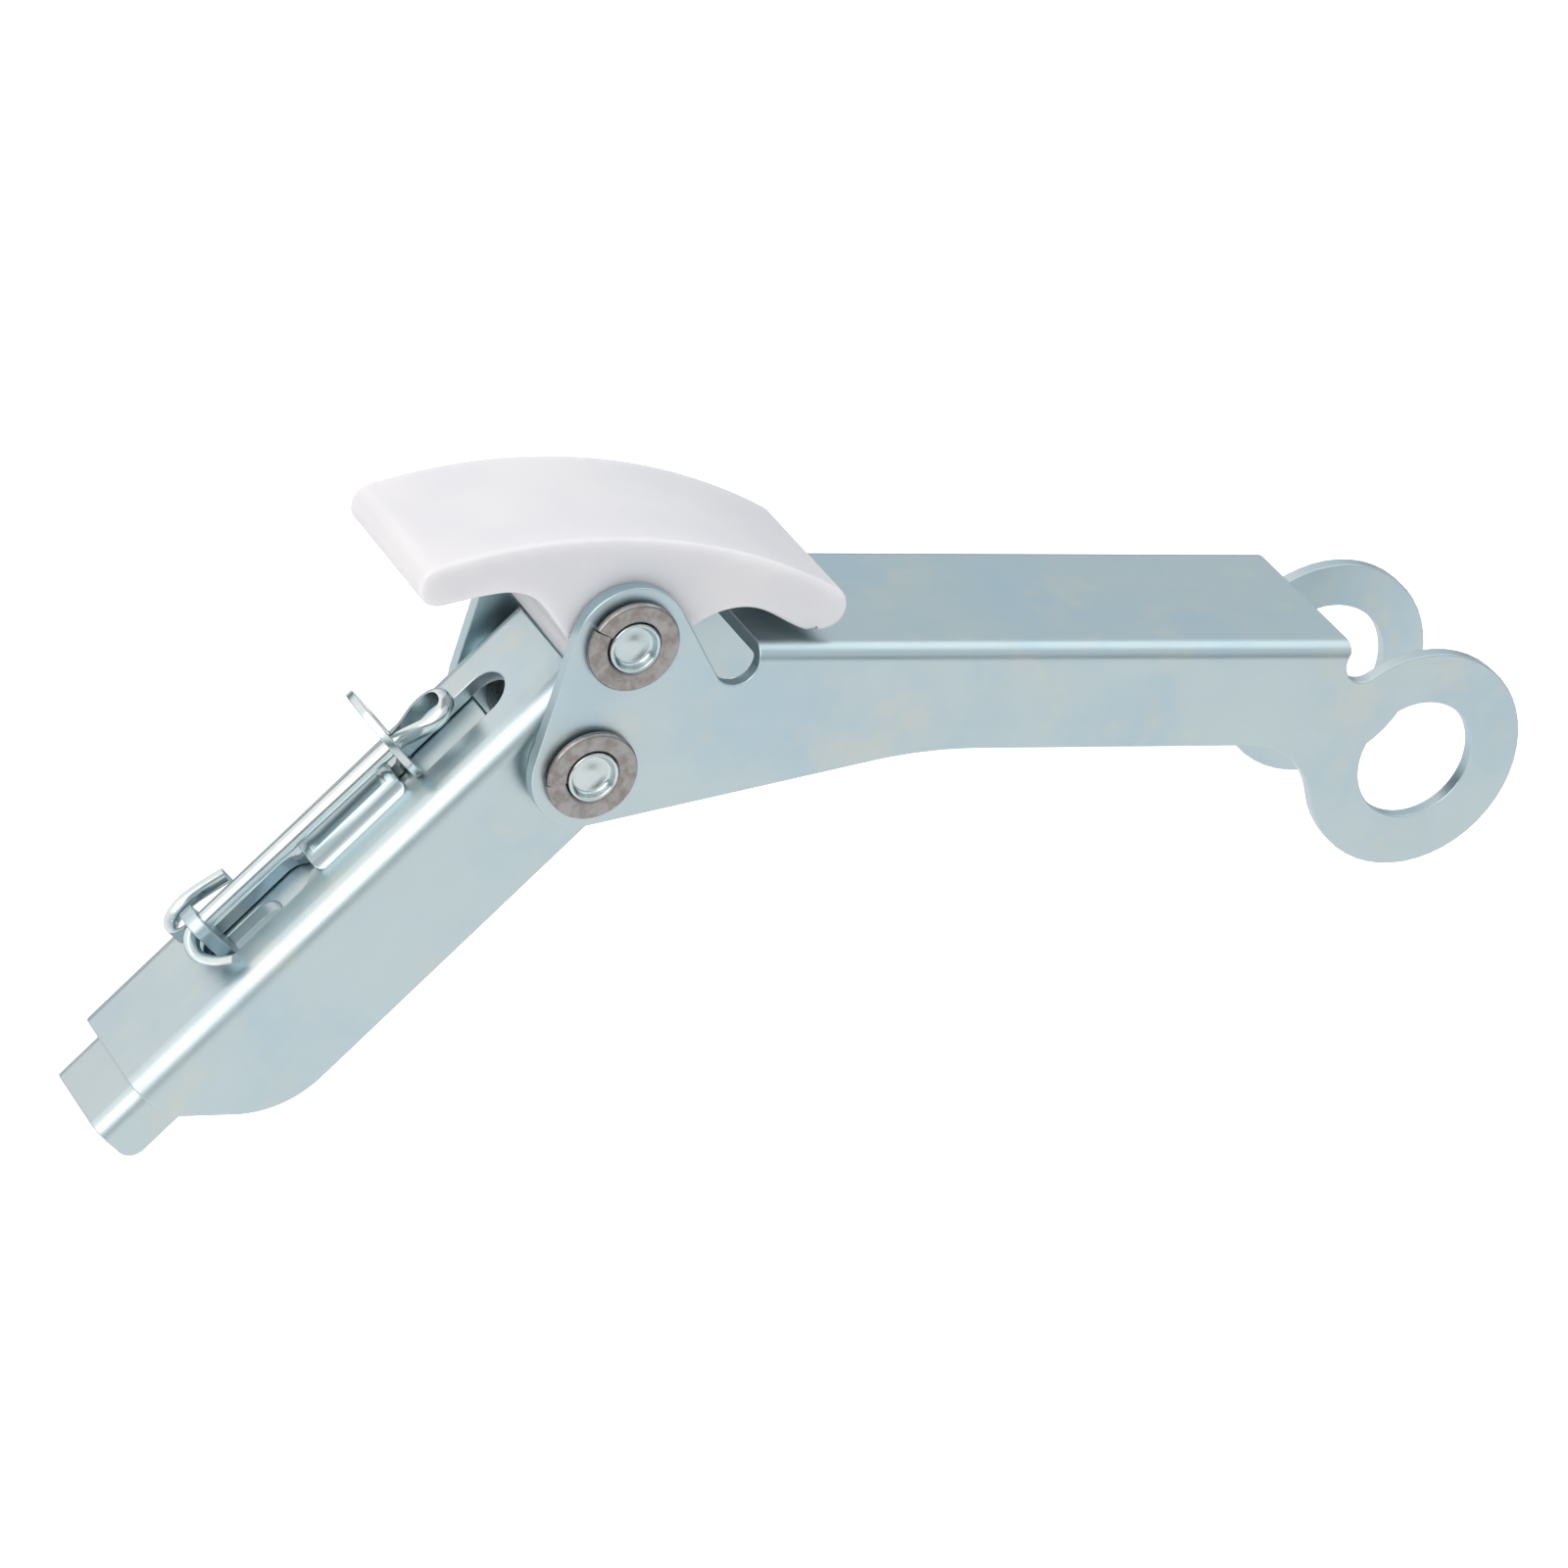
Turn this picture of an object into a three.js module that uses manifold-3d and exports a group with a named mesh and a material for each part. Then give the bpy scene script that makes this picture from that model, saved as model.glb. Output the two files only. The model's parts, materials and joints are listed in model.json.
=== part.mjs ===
// Folding latch lever: a pressed channel arm that hangs on a bar by two ring eyes, a nylon cam and a
// channel leg pinned between its ears, and a channel bolt that slides inside the leg.
// Millimetres, +Z up. The origin is on the axis of the eyes, half way across the arm; the arm lies
// along -X. Leg, bolt and split pin are drawn in the leg's own frame and turned into place together.
import * as THREE from 'three';
import { mergeVertices } from 'three/addons/utils/BufferGeometryUtils.js';
import Module from 'manifold-3d';

const wasm = await Module();
wasm.setup();

// ---- driving dimensions -------------------------------------------------------------------------
const sheet = 2.8;               // pressed steel of arm, leg and bolt
const armFold = 3.3;             // outer radius of each channel's folds
const legFold = 4.6;
const boltFold = 3.7;
const armWidth = 42;             // over the two flanges
const armTop = 25.1;             // outer face of the web above the eye axis
const armEdge = 3.4;             // lower edge of the flanges beside the eyes
const eyeRadius = 23.1;
const nearBore = 12.5;           // radius of the bore in the near eye
const farBore = 14;              // radius of the bore in the far eye
const eyeFillet = 18;            // hollow between the lower edge and the eye
const webEnd = 20.6;             // the web stops this far short of the eye axis
const notchRadius = 4.1;         // relief beside each eye
const hinge = { x: -178.7, z: -0.7 };      // axis of the leg
const camAxis = { x: -175.9, z: 25.9 };    // axis of the cam
const earRadius = 11.3;
const bossRadius = 11.5;
const webStart = 148.7;          // distance from the eye axis to the other end of the web
const reliefRadius = 4.4;        // relief between web and ears
const reliefHeight = 21.6;
const haunchSlope = THREE.MathUtils.degToRad(12.9);   // lower edge, rising from the hinge
const haunchRadius = 100;

const pinRadius = 5;
const runningFit = 0.1;          // radial play of a bore on its pin
const dishRadius = 4.2;          // hollow in each end of a pin
const dishDepth = 1.5;
const lockOuter = 9.05;          // spring lock washer
const lockBore = pinRadius + runningFit;
const lockThick = 2.2;
const lockSplit = 0.9;           // width of its split
const faceGap = 0.05;            // play between faces that touch

const legAngle = THREE.MathUtils.degToRad(50.45);     // below the line of the arm at rest
const legWidth = 30.2;
const legTop = 14.45;            // outer face of the leg's web above the hinge
const legBottom = 13.1;          // depth of its flanges below the hinge
const legReach = 101.3;          // from the hinge to its lower end
const legHead = 11;              // from the hinge to the upper end of its web
const slotWidth = 10.6;
const slotLength = 26.7;
const upperSlot = -0.1;          // where each slot begins, measured down the leg
const bridgeLength = 22.7;       // raised bridge between the slots
const bridgeRise = 3.4;
const bridgeFoot = 10.2;         // width of the bridge at the web
const bridgeTop = 7;             // width of its flat top
const bridgeWall = 2.2;
const bridgeRamp = 3.6;
const bridgeNose = 1.9;          // its ends start this far below its crest
const bridgeFlare = 0.9;         // it flares out into the web by this, each side
const bridgeCorner = 2.8;
const toeSlope = legAngle;       // the toe is cut level with the arm
const toeHeight = 5.5;           // where the toe's slant meets the end of the leg
const toeRadius = 21;
const toeCorner = 4;

const boltPlay = 0.25;           // play of the bolt in the leg, each side
const boltDepth = 10.5;          // height of its flanges
const boltStart = 7;             // from the hinge to the upper end of its web
const boltFlangeStart = 26;
const boltStand = 11;            // its tip stands this far out of the leg
const boltCorner = 3.5;
const tabWidth = 8.4;
const tabPlay = 0.25;            // the tab stops short of the end of the slot by this
const tabRise = 24.3;            // height of the tab above the hinge
const tabCorner = 3.4;
const tabHole = 2.3;             // radius of its hole
const tabHoleHeight = 20.9;
const tabGap = 11.7;             // length of the window the tab was bent out of

const wire = 1.05;               // radius of the split pin's wire
const wireGap = 0.12;            // gap between its two legs
const pinHeight = 20.3;          // split pin above the hinge, where it enters the washer
const pinEyeHeight = 19.7;
const pinEyeStart = 9.2;         // crown of its eye, measured down the leg
const pinEyeLength = 12.4;
const pinEyeWidth = 8;
const flatOuter = 10;            // flat washer on the split pin
const flatBore = 5.25;
const flatThick = 1.6;
const flatPlace = 22;            // measured down the leg
const flatLean = THREE.MathUtils.degToRad(4);         // it leans up the leg

const camWidth = 35.4;
const camBoss = 10.8;
const camCrown = 110;            // radius of its rolling face
const camCrownTop = 19.75;       // crown above the cam's axis
const camCrownSide = -4;         // highest point, measured along the arm
const camTipReach = 40.3;        // centre of the tip beside the web
const camTipRadius = 4.5;
const camHeelReach = 38.8;       // centre of the other end
const camHeelRadius = 4.1;
const sleeveRadius = 7;          // spacer sleeves on both pins

const steps = 20;                // segments in a quarter circle of the larger arcs
const turnSides = 64;            // sides of a turned piece

// ---- making solids ------------------------------------------------------------------------------
function solidOf(geometry) {
  const bare = geometry.clone();
  bare.deleteAttribute('normal');
  bare.deleteAttribute('uv');
  const merged = mergeVertices(bare, 1e-5);
  return new wasm.Manifold(new wasm.Mesh({
    numProp: 3,
    vertProperties: new Float32Array(merged.attributes.position.array),
    triVerts: new Uint32Array(merged.index.array),
  }));
}

function geometryOf(solid) {
  const mesh = solid.getMesh();
  const geometry = new THREE.BufferGeometry();
  geometry.setAttribute('position', new THREE.BufferAttribute(mesh.vertProperties, 3));
  geometry.setIndex(new THREE.BufferAttribute(mesh.triVerts, 1));
  geometry.computeVertexNormals();
  return geometry;
}

// A side outline (x along, y up) given depth across the arm, from y = from to y = to.
function across(shape, from, to) {
  const geometry = new THREE.ExtrudeGeometry(shape, {
    depth: to - from, bevelEnabled: false, curveSegments: steps,
  });
  geometry.rotateX(Math.PI / 2);
  geometry.translate(0, to, 0);
  return solidOf(geometry);
}

// A cross-section (x across, y up) given length along X, from x = from to x = to.
function along(shape, from, to) {
  const geometry = new THREE.ExtrudeGeometry(shape, {
    depth: to - from, bevelEnabled: false, curveSegments: steps / 2,
  });
  geometry.rotateX(Math.PI / 2);
  geometry.rotateZ(Math.PI / 2);
  geometry.translate(from, 0, 0);
  return solidOf(geometry);
}

// A plan outline (x along, y across) given height, from z = from to z = to.
function upward(shape, from, to) {
  const geometry = new THREE.ExtrudeGeometry(shape, {
    depth: to - from, bevelEnabled: false, curveSegments: steps,
  });
  geometry.translate(0, 0, from);
  return solidOf(geometry);
}

function box(x0, x1, y0, y1, z0, z1) {
  const geometry = new THREE.BoxGeometry(x1 - x0, y1 - y0, z1 - z0);
  geometry.translate((x0 + x1) / 2, (y0 + y1) / 2, (z0 + z1) / 2);
  return solidOf(geometry);
}

// A round bar across the arm, centred on (x, z).
function crossBar(x, z, radius, from, to) {
  const geometry = new THREE.CylinderGeometry(radius, radius, to - from, turnSides);
  geometry.translate(x, (from + to) / 2, z);
  return solidOf(geometry);
}

// A turned piece: radius and height pairs, closed on the axis or on itself, its axis across the arm.
function turned(profile, x, z) {
  const points = profile.map(([r, y]) => new THREE.Vector2(r, y));
  const geometry = new THREE.LatheGeometry(points, turnSides);
  geometry.translate(x, 0, z);
  return solidOf(geometry);
}

function ring(inner, outer, y0, y1, x, z) {
  return turned([[inner, y0], [outer, y0], [outer, y1], [inner, y1], [inner, y0]], x, z);
}

function angleTo(from, to) {
  return Math.atan2(to.z - from.z, to.x - from.x);
}

function onCircle(centre, radius, angle) {
  return { x: centre.x + radius * Math.cos(angle), z: centre.z + radius * Math.sin(angle) };
}

// Cross-section of a channel's web and folds; its flanges reach down to z = foot.
function channelSection(width, top, foot, fold) {
  const half = width / 2;
  const inside = fold - sheet;
  const shape = new THREE.Shape();
  shape.moveTo(-half, foot);
  shape.lineTo(-half + sheet, foot);
  shape.lineTo(-half + sheet, top - fold);
  shape.absarc(-half + fold, top - fold, inside, Math.PI, Math.PI / 2, true);
  shape.lineTo(half - fold, top - sheet);
  shape.absarc(half - fold, top - fold, inside, Math.PI / 2, 0, true);
  shape.lineTo(half - sheet, foot);
  shape.lineTo(half, foot);
  shape.lineTo(half, top - fold);
  shape.absarc(half - fold, top - fold, fold, 0, Math.PI / 2, false);
  shape.lineTo(-half + fold, top);
  shape.absarc(-half + fold, top - fold, fold, Math.PI / 2, Math.PI, false);
  shape.closePath();
  return shape;
}

// ---- arm ----------------------------------------------------------------------------------------
const armHalf = armWidth / 2;
const eyeCentre = { x: 0, z: 0 };
const notchReach = eyeRadius + notchRadius;
const notchSide = webEnd + 0.6 - notchRadius;
const notch = { x: -notchSide, z: Math.sqrt(notchReach ** 2 - notchSide ** 2) };
const relief = { x: -webStart - reliefRadius, z: reliefHeight };

function flangeOutline() {
  const fillet = { z: armEdge - eyeFillet };
  fillet.x = -Math.sqrt((eyeRadius + eyeFillet) ** 2 - fillet.z ** 2);
  const eyeStart = angleTo(eyeCentre, fillet);
  const eyeEnd = angleTo(eyeCentre, notch);
  const foot = onCircle(hinge, bossRadius, haunchSlope - Math.PI / 2);
  const crease = foot.x + (armEdge - foot.z) / Math.tan(haunchSlope);
  const tangent = haunchRadius * Math.tan(haunchSlope / 2);
  const haunch = { x: crease + tangent, z: armEdge - haunchRadius };
  const earToRelief = Math.hypot(relief.x - camAxis.x, relief.z - camAxis.z);
  const lean = Math.asin((earRadius + reliefRadius) / earToRelief);
  const flank = angleTo(camAxis, relief) - lean + Math.PI / 2;
  const backLean = Math.asin((bossRadius - earRadius) / Math.hypot(camAxis.x - hinge.x, camAxis.z - hinge.z));
  const back = angleTo(hinge, camAxis) + Math.PI / 2 + backLean;
  const shape = new THREE.Shape();
  shape.moveTo(foot.x, foot.z);
  shape.absarc(haunch.x, haunch.z, haunchRadius, Math.PI / 2 + haunchSlope, Math.PI / 2, true);
  shape.absarc(fillet.x, fillet.z, eyeFillet, Math.PI / 2, eyeStart + Math.PI, true);
  shape.absarc(0, 0, eyeRadius, eyeStart, eyeEnd, false);
  shape.absarc(notch.x, notch.z, notchRadius, eyeEnd - Math.PI, -Math.PI, true);
  shape.lineTo(notch.x - notchRadius, armTop - armFold);
  shape.lineTo(-webStart, armTop - armFold);
  shape.absarc(relief.x, relief.z, reliefRadius, 0, flank - Math.PI, true);
  shape.absarc(camAxis.x, camAxis.z, earRadius, flank, back, false);
  shape.absarc(hinge.x, hinge.z, bossRadius, back, haunchSlope + Math.PI * 1.5, false);
  shape.closePath();
  return shape;
}

function leverChannel() {
  const outline = flangeOutline();
  const web = along(channelSection(armWidth, armTop, armTop - armFold - sheet, armFold), -webStart, -webEnd);
  let solid = across(outline, -armHalf, -armHalf + sheet)
    .add(across(outline, armHalf - sheet, armHalf))
    .add(web);
  for (const centre of [notch, relief]) {
    const radius = centre === notch ? notchRadius : reliefRadius;
    const from = armHalf - armFold - 1;
    for (const y of [from, -armHalf - 1]) {
      solid = solid.subtract(crossBar(centre.x, centre.z, radius, y, y + armFold + 2));
    }
  }
  const bore = pinRadius + runningFit;
  return solid
    .subtract(crossBar(0, 0, nearBore, -armHalf - 1, -armHalf + sheet + 1))
    .subtract(crossBar(0, 0, farBore, armHalf - sheet - 1, armHalf + 1))
    .subtract(crossBar(hinge.x, hinge.z, bore, -armHalf - 1, armHalf + 1))
    .subtract(crossBar(camAxis.x, camAxis.z, bore, -armHalf - 1, armHalf + 1));
}

// ---- pins, lock washers and spacers -------------------------------------------------------------
const pinHalf = armHalf + faceGap * 2 + lockThick;     // flush with its lock washers

function crossPin(axis) {
  const rim = pinHalf - dishDepth;
  const edge = 0.4;
  return turned([
    [0, -rim], [dishRadius - dishDepth / 2, -rim], [dishRadius, -pinHalf], [pinRadius - edge, -pinHalf],
    [pinRadius, -pinHalf + edge], [pinRadius, pinHalf - edge], [pinRadius - edge, pinHalf],
    [dishRadius, pinHalf], [dishRadius - dishDepth / 2, rim], [0, rim],
  ], axis.x, axis.z);
}

function lockWasher(axis, side) {
  const inner = armHalf + faceGap;
  const outer = inner + lockThick;
  const edge = 0.5;
  const profile = [
    [lockBore, inner], [lockOuter, inner], [lockOuter, outer - edge],
    [lockOuter - edge, outer], [lockBore, outer], [lockBore, inner],
  ];
  const placed = profile.map(([r, y]) => [r, side * y]);
  if (side < 0) {
    placed.reverse();
  }
  const split = box(-lockOuter - 1, -lockBore / 2, -outer - 1, outer + 1, -lockSplit / 2, lockSplit / 2)
    .rotate([0, 20, 0])
    .translate([axis.x, 0, axis.z]);
  return turned(placed, axis.x, axis.z).subtract(split);
}

const legHalf = legWidth / 2;
const spacerInner = legHalf + runningFit;
const spacerOuter = armHalf - sheet - runningFit;

function hingeSpacer(side) {
  const y0 = side < 0 ? -spacerOuter : spacerInner;
  return ring(pinRadius + runningFit, flatOuter, y0, y0 + spacerOuter - spacerInner, hinge.x, hinge.z);
}

// ---- cam ----------------------------------------------------------------------------------------
function camOutline() {
  const crown = { x: camCrownSide, z: camCrownTop - camCrown };
  const inset = camCrown - camTipRadius;
  const tip = { x: camTipReach };
  tip.z = crown.z + Math.sqrt(inset ** 2 - (tip.x - crown.x) ** 2);
  const heelInset = camCrown - camHeelRadius;
  const heel = { x: -camHeelReach };
  heel.z = crown.z + Math.sqrt(heelInset ** 2 - (heel.x - crown.x) ** 2);
  const tipAngle = angleTo(crown, tip);
  const heelAngle = angleTo(crown, heel);
  const shape = new THREE.Shape();
  shape.absarc(crown.x, crown.z, camCrown, tipAngle, heelAngle, false);
  shape.absarc(heel.x, heel.z, camHeelRadius, heelAngle, -Math.PI * 0.44, false);
  shape.bezierCurveTo(-27.5, 8.4, -22.5, 10.4, -17.2, 5.6);
  shape.lineTo(-12.6, 0.6);
  shape.quadraticCurveTo(-camBoss - 0.4, -1.2, -camBoss, -1.8);
  shape.absarc(0, 0, camBoss, Math.PI * 1.06, Math.PI * 1.93, false);
  shape.bezierCurveTo(13, 1.6, 17.5, 5.6, 24, 5.6);
  shape.bezierCurveTo(29, 5.6, 32.5, 2.2, 37.6, 0.9);
  shape.absarc(tip.x, tip.z, camTipRadius, -Math.PI * 0.62, tipAngle, false);
  shape.closePath();
  return shape;
}

function camShoe() {
  return across(camOutline(), -camWidth / 2, camWidth / 2)
    .translate([camAxis.x, 0, camAxis.z])
    .subtract(crossBar(camAxis.x, camAxis.z, sleeveRadius + runningFit, -camWidth, camWidth));
}

function camSleeve() {
  const half = armHalf - sheet - runningFit;
  return ring(pinRadius + runningFit, sleeveRadius, -half, half, camAxis.x, camAxis.z);
}

// ---- leg, in its own frame: x up the leg, z out of its web, the hinge at the origin -------------
const lowerSlot = upperSlot + slotLength + bridgeLength;

function slotOutline(start) {
  const r = slotWidth / 2;
  const shape = new THREE.Shape();
  shape.absarc(-start - r, 0, r, -Math.PI / 2, Math.PI / 2, false);
  shape.absarc(-start - slotLength + r, 0, r, Math.PI / 2, Math.PI * 1.5, false);
  shape.closePath();
  return shape;
}

// The corner between two edges that turn by an angle, rounded with a radius: its tangent length.
function tangentLength(radius, turn) {
  return radius * Math.tan(turn / 2);
}

function legOutline() {
  const r = legBottom;
  const heelRun = Math.sqrt(r ** 2 - legHead ** 2);
  const slant = (toeHeight + legBottom) / Math.tan(toeSlope);
  const toe = { x: -legReach + slant, z: -legBottom };
  const back = tangentLength(toeRadius, toeSlope);
  const top = { x: -legReach, z: toeHeight };
  const corner = tangentLength(toeCorner, Math.PI / 2 - toeSlope);
  const shape = new THREE.Shape();
  shape.moveTo(legHead, legTop - legFold);
  shape.lineTo(-legReach, legTop - legFold);
  shape.lineTo(-legReach, top.z + corner);
  shape.absarc(-legReach + toeCorner, top.z + corner, toeCorner, Math.PI, Math.PI * 1.5 - toeSlope, false);
  shape.absarc(toe.x + back, toe.z + toeRadius, toeRadius, Math.PI * 1.5 - toeSlope, Math.PI * 1.5, false);
  shape.lineTo(0, -legBottom);
  shape.absarc(0, 0, r, -Math.PI / 2, Math.atan2(heelRun, legHead), false);
  shape.closePath();
  return shape;
}

// Half of the tunnel's width at its foot and at its crest, and their heights.
function tunnelSection(foot, crest, low, high) {
  const soft = (high - low) * 0.3;
  const shape = new THREE.Shape();
  shape.moveTo(-foot, low);
  shape.lineTo(foot, low);
  shape.lineTo(crest + soft * 0.6, high - soft);
  shape.quadraticCurveTo(crest, high, crest - soft, high);
  shape.lineTo(-crest + soft, high);
  shape.quadraticCurveTo(-crest, high, -crest - soft * 0.6, high - soft);
  shape.closePath();
  return shape;
}

// The bridge flares out softly into the web and has a tighter crest.
function bridgeSection(low, high) {
  const foot = bridgeFoot / 2;
  const crest = bridgeTop / 2;
  const wallFoot = foot - bridgeFlare / 8;
  const wallTop = crest + bridgeFlare / 4;
  const shape = new THREE.Shape();
  shape.moveTo(-foot - bridgeFlare, low);
  shape.lineTo(foot + bridgeFlare, low);
  shape.quadraticCurveTo(wallFoot, low, (wallFoot + wallTop) / 2, (low + high) / 2);
  shape.quadraticCurveTo(wallTop, high, crest, high);
  shape.lineTo(-crest, high);
  shape.quadraticCurveTo(-wallTop, high, -(wallFoot + wallTop) / 2, (low + high) / 2);
  shape.quadraticCurveTo(-wallFoot, low, -foot - bridgeFlare, low);
  return shape;
}

// Seen from above, the bridge has round corners.
function bridgePlan(start, end) {
  const half = bridgeFoot / 2 + bridgeFlare - bridgeCorner;
  const shape = new THREE.Shape();
  shape.absarc(start - bridgeCorner, half, bridgeCorner, 0, Math.PI / 2, false);
  shape.absarc(end + bridgeCorner, half, bridgeCorner, Math.PI / 2, Math.PI, false);
  shape.absarc(end + bridgeCorner, -half, bridgeCorner, Math.PI, Math.PI * 1.5, false);
  shape.absarc(start - bridgeCorner, -half, bridgeCorner, Math.PI * 1.5, Math.PI * 2, false);
  shape.closePath();
  return shape;
}

function legChannel() {
  const outline = legOutline();
  const under = legTop - sheet;
  const start = -upperSlot - slotLength;
  const end = -lowerSlot;
  let solid = across(outline, -legHalf, -legHalf + sheet)
    .add(across(outline, legHalf - sheet, legHalf))
    .add(along(channelSection(legWidth, legTop, legTop - legFold - sheet, legFold), -legReach, legHead));
  for (const slot of [upperSlot, lowerSlot]) {
    solid = solid.subtract(upward(slotOutline(slot), under - 1, legTop + 1));
  }
  const side = new THREE.Shape();
  side.moveTo(end, under);
  side.lineTo(start, under);
  const crest = legTop + bridgeRise;
  side.lineTo(start, crest - bridgeNose);
  side.quadraticCurveTo(start - bridgeFlare / 2, crest, start - bridgeRamp, crest);
  side.lineTo(end + bridgeRamp, crest);
  side.quadraticCurveTo(end + bridgeFlare / 2, crest, end, crest - bridgeNose);
  side.closePath();
  const bridge = along(bridgeSection(legTop - faceGap, crest), end, start)
    .intersect(across(side, -bridgeFoot, bridgeFoot))
    .intersect(upward(bridgePlan(start, end), under, crest + 1));
  const roof = crest - bridgeWall;
  const foot = (bridgeFoot - bridgeWall) / 2 - 1;
  const inside = tunnelSection(foot, (bridgeTop - bridgeWall) / 2, under - 1, roof);
  const tunnel = along(inside, end - 1, start + 1);
  return solid.add(bridge).subtract(tunnel)
    .subtract(crossBar(0, 0, pinRadius + runningFit, -legWidth, legWidth));
}

function hingeSleeve() {
  const half = legHalf - sheet - runningFit;
  return ring(pinRadius + runningFit, sleeveRadius, -half, half, 0, 0);
}

// ---- bolt, in the leg's frame -------------------------------------------------------------------
const boltReach = legReach + boltStand;
const boltTop = legTop - sheet - boltPlay;
const boltWidth = legWidth - 2 * (sheet + boltPlay);
const slotEnd = lowerSlot + slotLength;
const tabFlat = Math.sqrt((slotWidth / 2) ** 2 - (tabWidth / 2) ** 2);
const tabFace = slotEnd - slotWidth / 2 + tabFlat - tabPlay;   // lower face of the tab, down the leg

function boltChannel() {
  const half = boltWidth / 2;
  const foot = boltTop - boltDepth;
  const outline = new THREE.Shape();
  outline.moveTo(-boltFlangeStart, boltTop - boltFold);
  outline.lineTo(-boltReach, boltTop - boltFold);
  outline.lineTo(-boltReach, foot + boltCorner);
  outline.absarc(-boltReach + boltCorner, foot + boltCorner, boltCorner, Math.PI, Math.PI * 1.5, false);
  outline.lineTo(-boltFlangeStart - boltCorner, foot);
  outline.closePath();
  const web = along(channelSection(boltWidth, boltTop, boltTop - boltFold, boltFold), -boltReach, -boltStart);
  const shoulder = tabWidth / 2 - tabCorner;
  const tab = new THREE.Shape();
  tab.moveTo(-tabWidth / 2, boltTop - sheet);
  tab.lineTo(tabWidth / 2, boltTop - sheet);
  tab.absarc(shoulder, tabRise - tabCorner, tabCorner, 0, Math.PI / 2, false);
  tab.absarc(-shoulder, tabRise - tabCorner, tabCorner, Math.PI / 2, Math.PI, false);
  tab.closePath();
  const back = -tabFace + sheet;
  const window = new THREE.Shape();
  window.moveTo(back, -tabWidth / 2);
  window.lineTo(back + tabGap - tabWidth / 2, -tabWidth / 2);
  window.absarc(back + tabGap - tabWidth / 2, 0, tabWidth / 2, -Math.PI / 2, Math.PI / 2, false);
  window.lineTo(back, tabWidth / 2);
  window.closePath();
  const hole = new THREE.CylinderGeometry(tabHole, tabHole, sheet * 3, turnSides / 2);
  hole.rotateZ(Math.PI / 2);
  hole.translate(-tabFace + sheet / 2, 0, tabHoleHeight);
  return across(outline, -half, -half + sheet)
    .add(across(outline, half - sheet, half))
    .add(web)
    .subtract(upward(window, boltTop - sheet - 1, boltTop + 1))
    .add(along(tab, -tabFace, back))
    .subtract(solidOf(hole));
}

// ---- split pin and its flat washer, in the leg's frame ------------------------------------------
// The wire runs from one bent end, up one leg, round the eye and down the other leg.
function splitPinPath() {
  const beside = wire + wireGap / 2;
  const eye = pinEyeStart + pinEyeLength;
  const at = (down, y, z) => new THREE.Vector3(-down, y, z);
  return new THREE.CatmullRomCurve3([
    at(71.2, -11, 16.6), at(73, -9.6, 17.1), at(74.8, -7.8, 17.8), at(76.2, -5.5, 18.7),
    at(76.2, -3.3, 19.7), at(74.6, -beside, tabHoleHeight), at(66, -beside, tabHoleHeight - 0.1),
    at(48, -beside, 20.6), at(30, -beside, 20.4), at(eye, -beside, pinHeight),
    at(eye - 3.2, -beside - 1.2, pinEyeHeight + 0.3),
    at(pinEyeStart + 5, -pinEyeWidth / 2 + wire, pinEyeHeight),
    at(pinEyeStart + wire, 0, pinEyeHeight),
    at(pinEyeStart + 5, pinEyeWidth / 2 - wire, pinEyeHeight),
    at(eye - 3.2, beside + 1.2, pinEyeHeight + 0.3),
    at(eye, beside, pinHeight), at(30, beside, 20.4), at(48, beside, 20.6),
    at(66, beside, tabHoleHeight - 0.1), at(74.2, beside, tabHoleHeight),
    at(76.6, 2.6, tabHoleHeight), at(77.1, 4.9, tabHoleHeight), at(75.9, 7, tabHoleHeight),
    at(72.8, 8, tabHoleHeight), at(68.6, 7.3, tabHoleHeight), at(62.6, 5.3, tabHoleHeight - 0.1),
  ], false, 'centripetal');
}

function splitPin() {
  const section = new THREE.Shape();
  section.absarc(0, 0, wire, 0, Math.PI * 2, false);
  const geometry = new THREE.ExtrudeGeometry(section, {
    steps: 150, curveSegments: 5, bevelEnabled: false, extrudePath: splitPinPath(),
  });
  return solidOf(geometry);
}

function flatWasher() {
  const r = slotWidth / 2;
  const low = flatPlace + flatThick + flatOuter * Math.sin(flatLean);
  const chord = Math.sqrt(r ** 2 - (low - upperSlot - slotLength + r) ** 2) - runningFit;
  const seat = Math.sqrt(flatOuter ** 2 - chord ** 2) + legTop;
  const geometry = new THREE.LatheGeometry([
    new THREE.Vector2(flatBore, 0), new THREE.Vector2(flatOuter, 0),
    new THREE.Vector2(flatOuter, flatThick), new THREE.Vector2(flatBore, flatThick),
    new THREE.Vector2(flatBore, 0),
  ], turnSides);
  geometry.rotateZ(Math.PI / 2);
  geometry.rotateY(flatLean);
  geometry.translate(-flatPlace, 0, seat);
  return solidOf(geometry);
}

// ---- finishes and assembly ----------------------------------------------------------------------
const zinc = { color: 0xb9ccd6, roughness: 0.32, metalness: 0.9 };
const bareSteel = { color: 0x8d8580, roughness: 0.5, metalness: 0.85 };
const nylon = { color: 0xeceef2, roughness: 0.42, metalness: 0 };

function piece(name, solid, finish) {
  const mesh = new THREE.Mesh(geometryOf(solid), new THREE.MeshStandardMaterial(finish));
  mesh.name = name;
  return mesh;
}

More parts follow.
